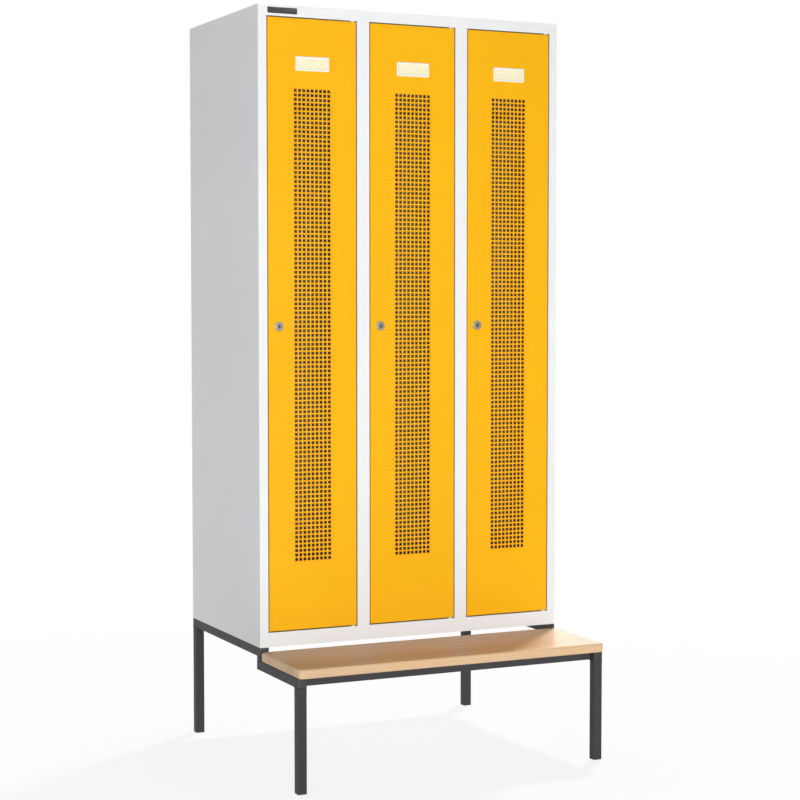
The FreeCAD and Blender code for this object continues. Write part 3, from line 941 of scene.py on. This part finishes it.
def studio_world():
    world = bpy.data.worlds.new("studio")
    world.use_nodes = True
    tree = world.node_tree
    fill = tree.nodes["Background"]
    fill.inputs["Strength"].default_value = sky_level
    fill.inputs["Color"].default_value = white_light
    white = put(tree, "Background", {"Color": white_light, "Strength": 1.0})
    shown = put(tree, "MixShader", {0: seen_directly(tree), 1: fill.outputs[0], 2: white})
    wire(tree, shown, tree.nodes["World Output"].inputs["Surface"])
    bpy.context.scene.world = world


studio_world()
print("world: sky level", sky_level)

# %% [markdown]
# Floor
#
# A wide pale floor catches the shadow. Near the object the camera sees mostly white and a share of the lit
# floor, so the shadow stays light, and farther out it sees white alone, so no edge of the floor shows.

# %% Floor
floor_reach = 30.0
floor_tones = (0.80, 0.80, 0.80, 1), (0.84, 0.84, 0.84, 1)
floor_grain, floor_roughness = 14.0, 0.9
floor_white_share = 0.87
shadow_fades = (0.6, 2.6)


def floor_finish():
    material, tree, shader = new_finish("studio floor")
    place = object_place(tree)
    wire(tree, mixed(tree, noise(tree, place, floor_grain, detail=3.0), *floor_tones), shader["Base Color"])
    shader["Roughness"].default_value = floor_roughness
    whiteness = remap(tree, vector_length(tree, place), shadow_fades, (floor_white_share, 1.0))
    white = put(tree, "Emission", {"Color": white_light, "Strength": 1.0})
    share = calculate(tree, "MULTIPLY", whiteness, seen_directly(tree))
    lit = tree.nodes["Principled BSDF"].outputs[0]
    shown = put(tree, "MixShader", {0: share, 1: lit, 2: white})
    wire(tree, shown, tree.nodes["Material Output"].inputs["Surface"])
    return material


def studio_floor():
    bm = bmesh.new()
    corners = ((-1, -1), (1, -1), (1, 1), (-1, 1))
    bm.faces.new([bm.verts.new((floor_reach * x, floor_reach * y, 0)) for x, y in corners])
    mesh = bpy.data.meshes.new("studio_floor")
    bm.to_mesh(mesh)
    bm.free()
    mesh.materials.append(floor_finish())
    floor = bpy.data.objects.new("studio_floor", mesh)
    bpy.context.scene.collection.objects.link(floor)


studio_floor()
print("floor:", 2 * floor_reach, "m wide, shadow fades out at", shadow_fades[1], "m")

# %% [markdown]
# Lamps
#
# A wide lamp stands low behind the camera and lights the doors evenly, without a hot spot. A weaker one
# lifts the left side. A small lamp stands high behind the right corner, so the cabinet throws its shadow
# forward over the seat and only the seat's right end is in the light, as in the photograph. A weak lamp low
# behind the cabinet is mirrored in the varnish there, which gives that end its whitish sheen.

# %% Lamps
aim = Vector((0, 0, 1.0))


def soft_lamp(name, place, sides, power):
    lamp = bpy.data.lights.new(name, "AREA")
    lamp.shape = "RECTANGLE"
    lamp.size, lamp.size_y = sides
    lamp.energy = power
    holder = bpy.data.objects.new(name, lamp)
    holder.location = place
    holder.rotation_euler = (aim - Vector(place)).to_track_quat("-Z", "Y").to_euler()
    bpy.context.scene.collection.objects.link(holder)


soft_lamp("front", place=(-1.6, -7.6, 0.85), sides=(3.4, 1.6), power=405.0)
soft_lamp("left", place=(-5.0, -0.6, 1.6), sides=(2.6, 2.6), power=48.0)
soft_lamp("behind", place=(3.5, 3.15, 8.1), sides=(0.9, 0.9), power=620.0)
soft_lamp("low behind", place=(3.2, 5.0, 1.5), sides=(1.8, 1.0), power=26.0)
print("lamps:", [lamp.name for lamp in bpy.data.lights])

# %% [markdown]
# Camera
#
# The view was worked out from the cabinet's edges in the photograph: a long lens, a little above the middle
# of the doors, turned to show the left side. It looks slightly down, so nothing needs a shift.

# %% Camera
image_side = 800
focal_pixels = 1926.5
sensor_width = 36.0
camera_place = (-2.2880, -4.8873, 1.2709)
camera_turn_degrees = (86.91, 0.0, -25.32)

lens = bpy.data.cameras.new("camera")
lens.sensor_width = sensor_width
lens.lens = focal_pixels / image_side * sensor_width
camera = bpy.data.objects.new("camera", lens)
camera.location = camera_place
camera.rotation_euler = Euler([math.radians(turn) for turn in camera_turn_degrees])
bpy.context.scene.collection.objects.link(camera)
bpy.context.scene.camera = camera
bpy.context.scene.view_settings.view_transform = "Standard"
print("camera: lens", round(lens.lens, 1), "mm")
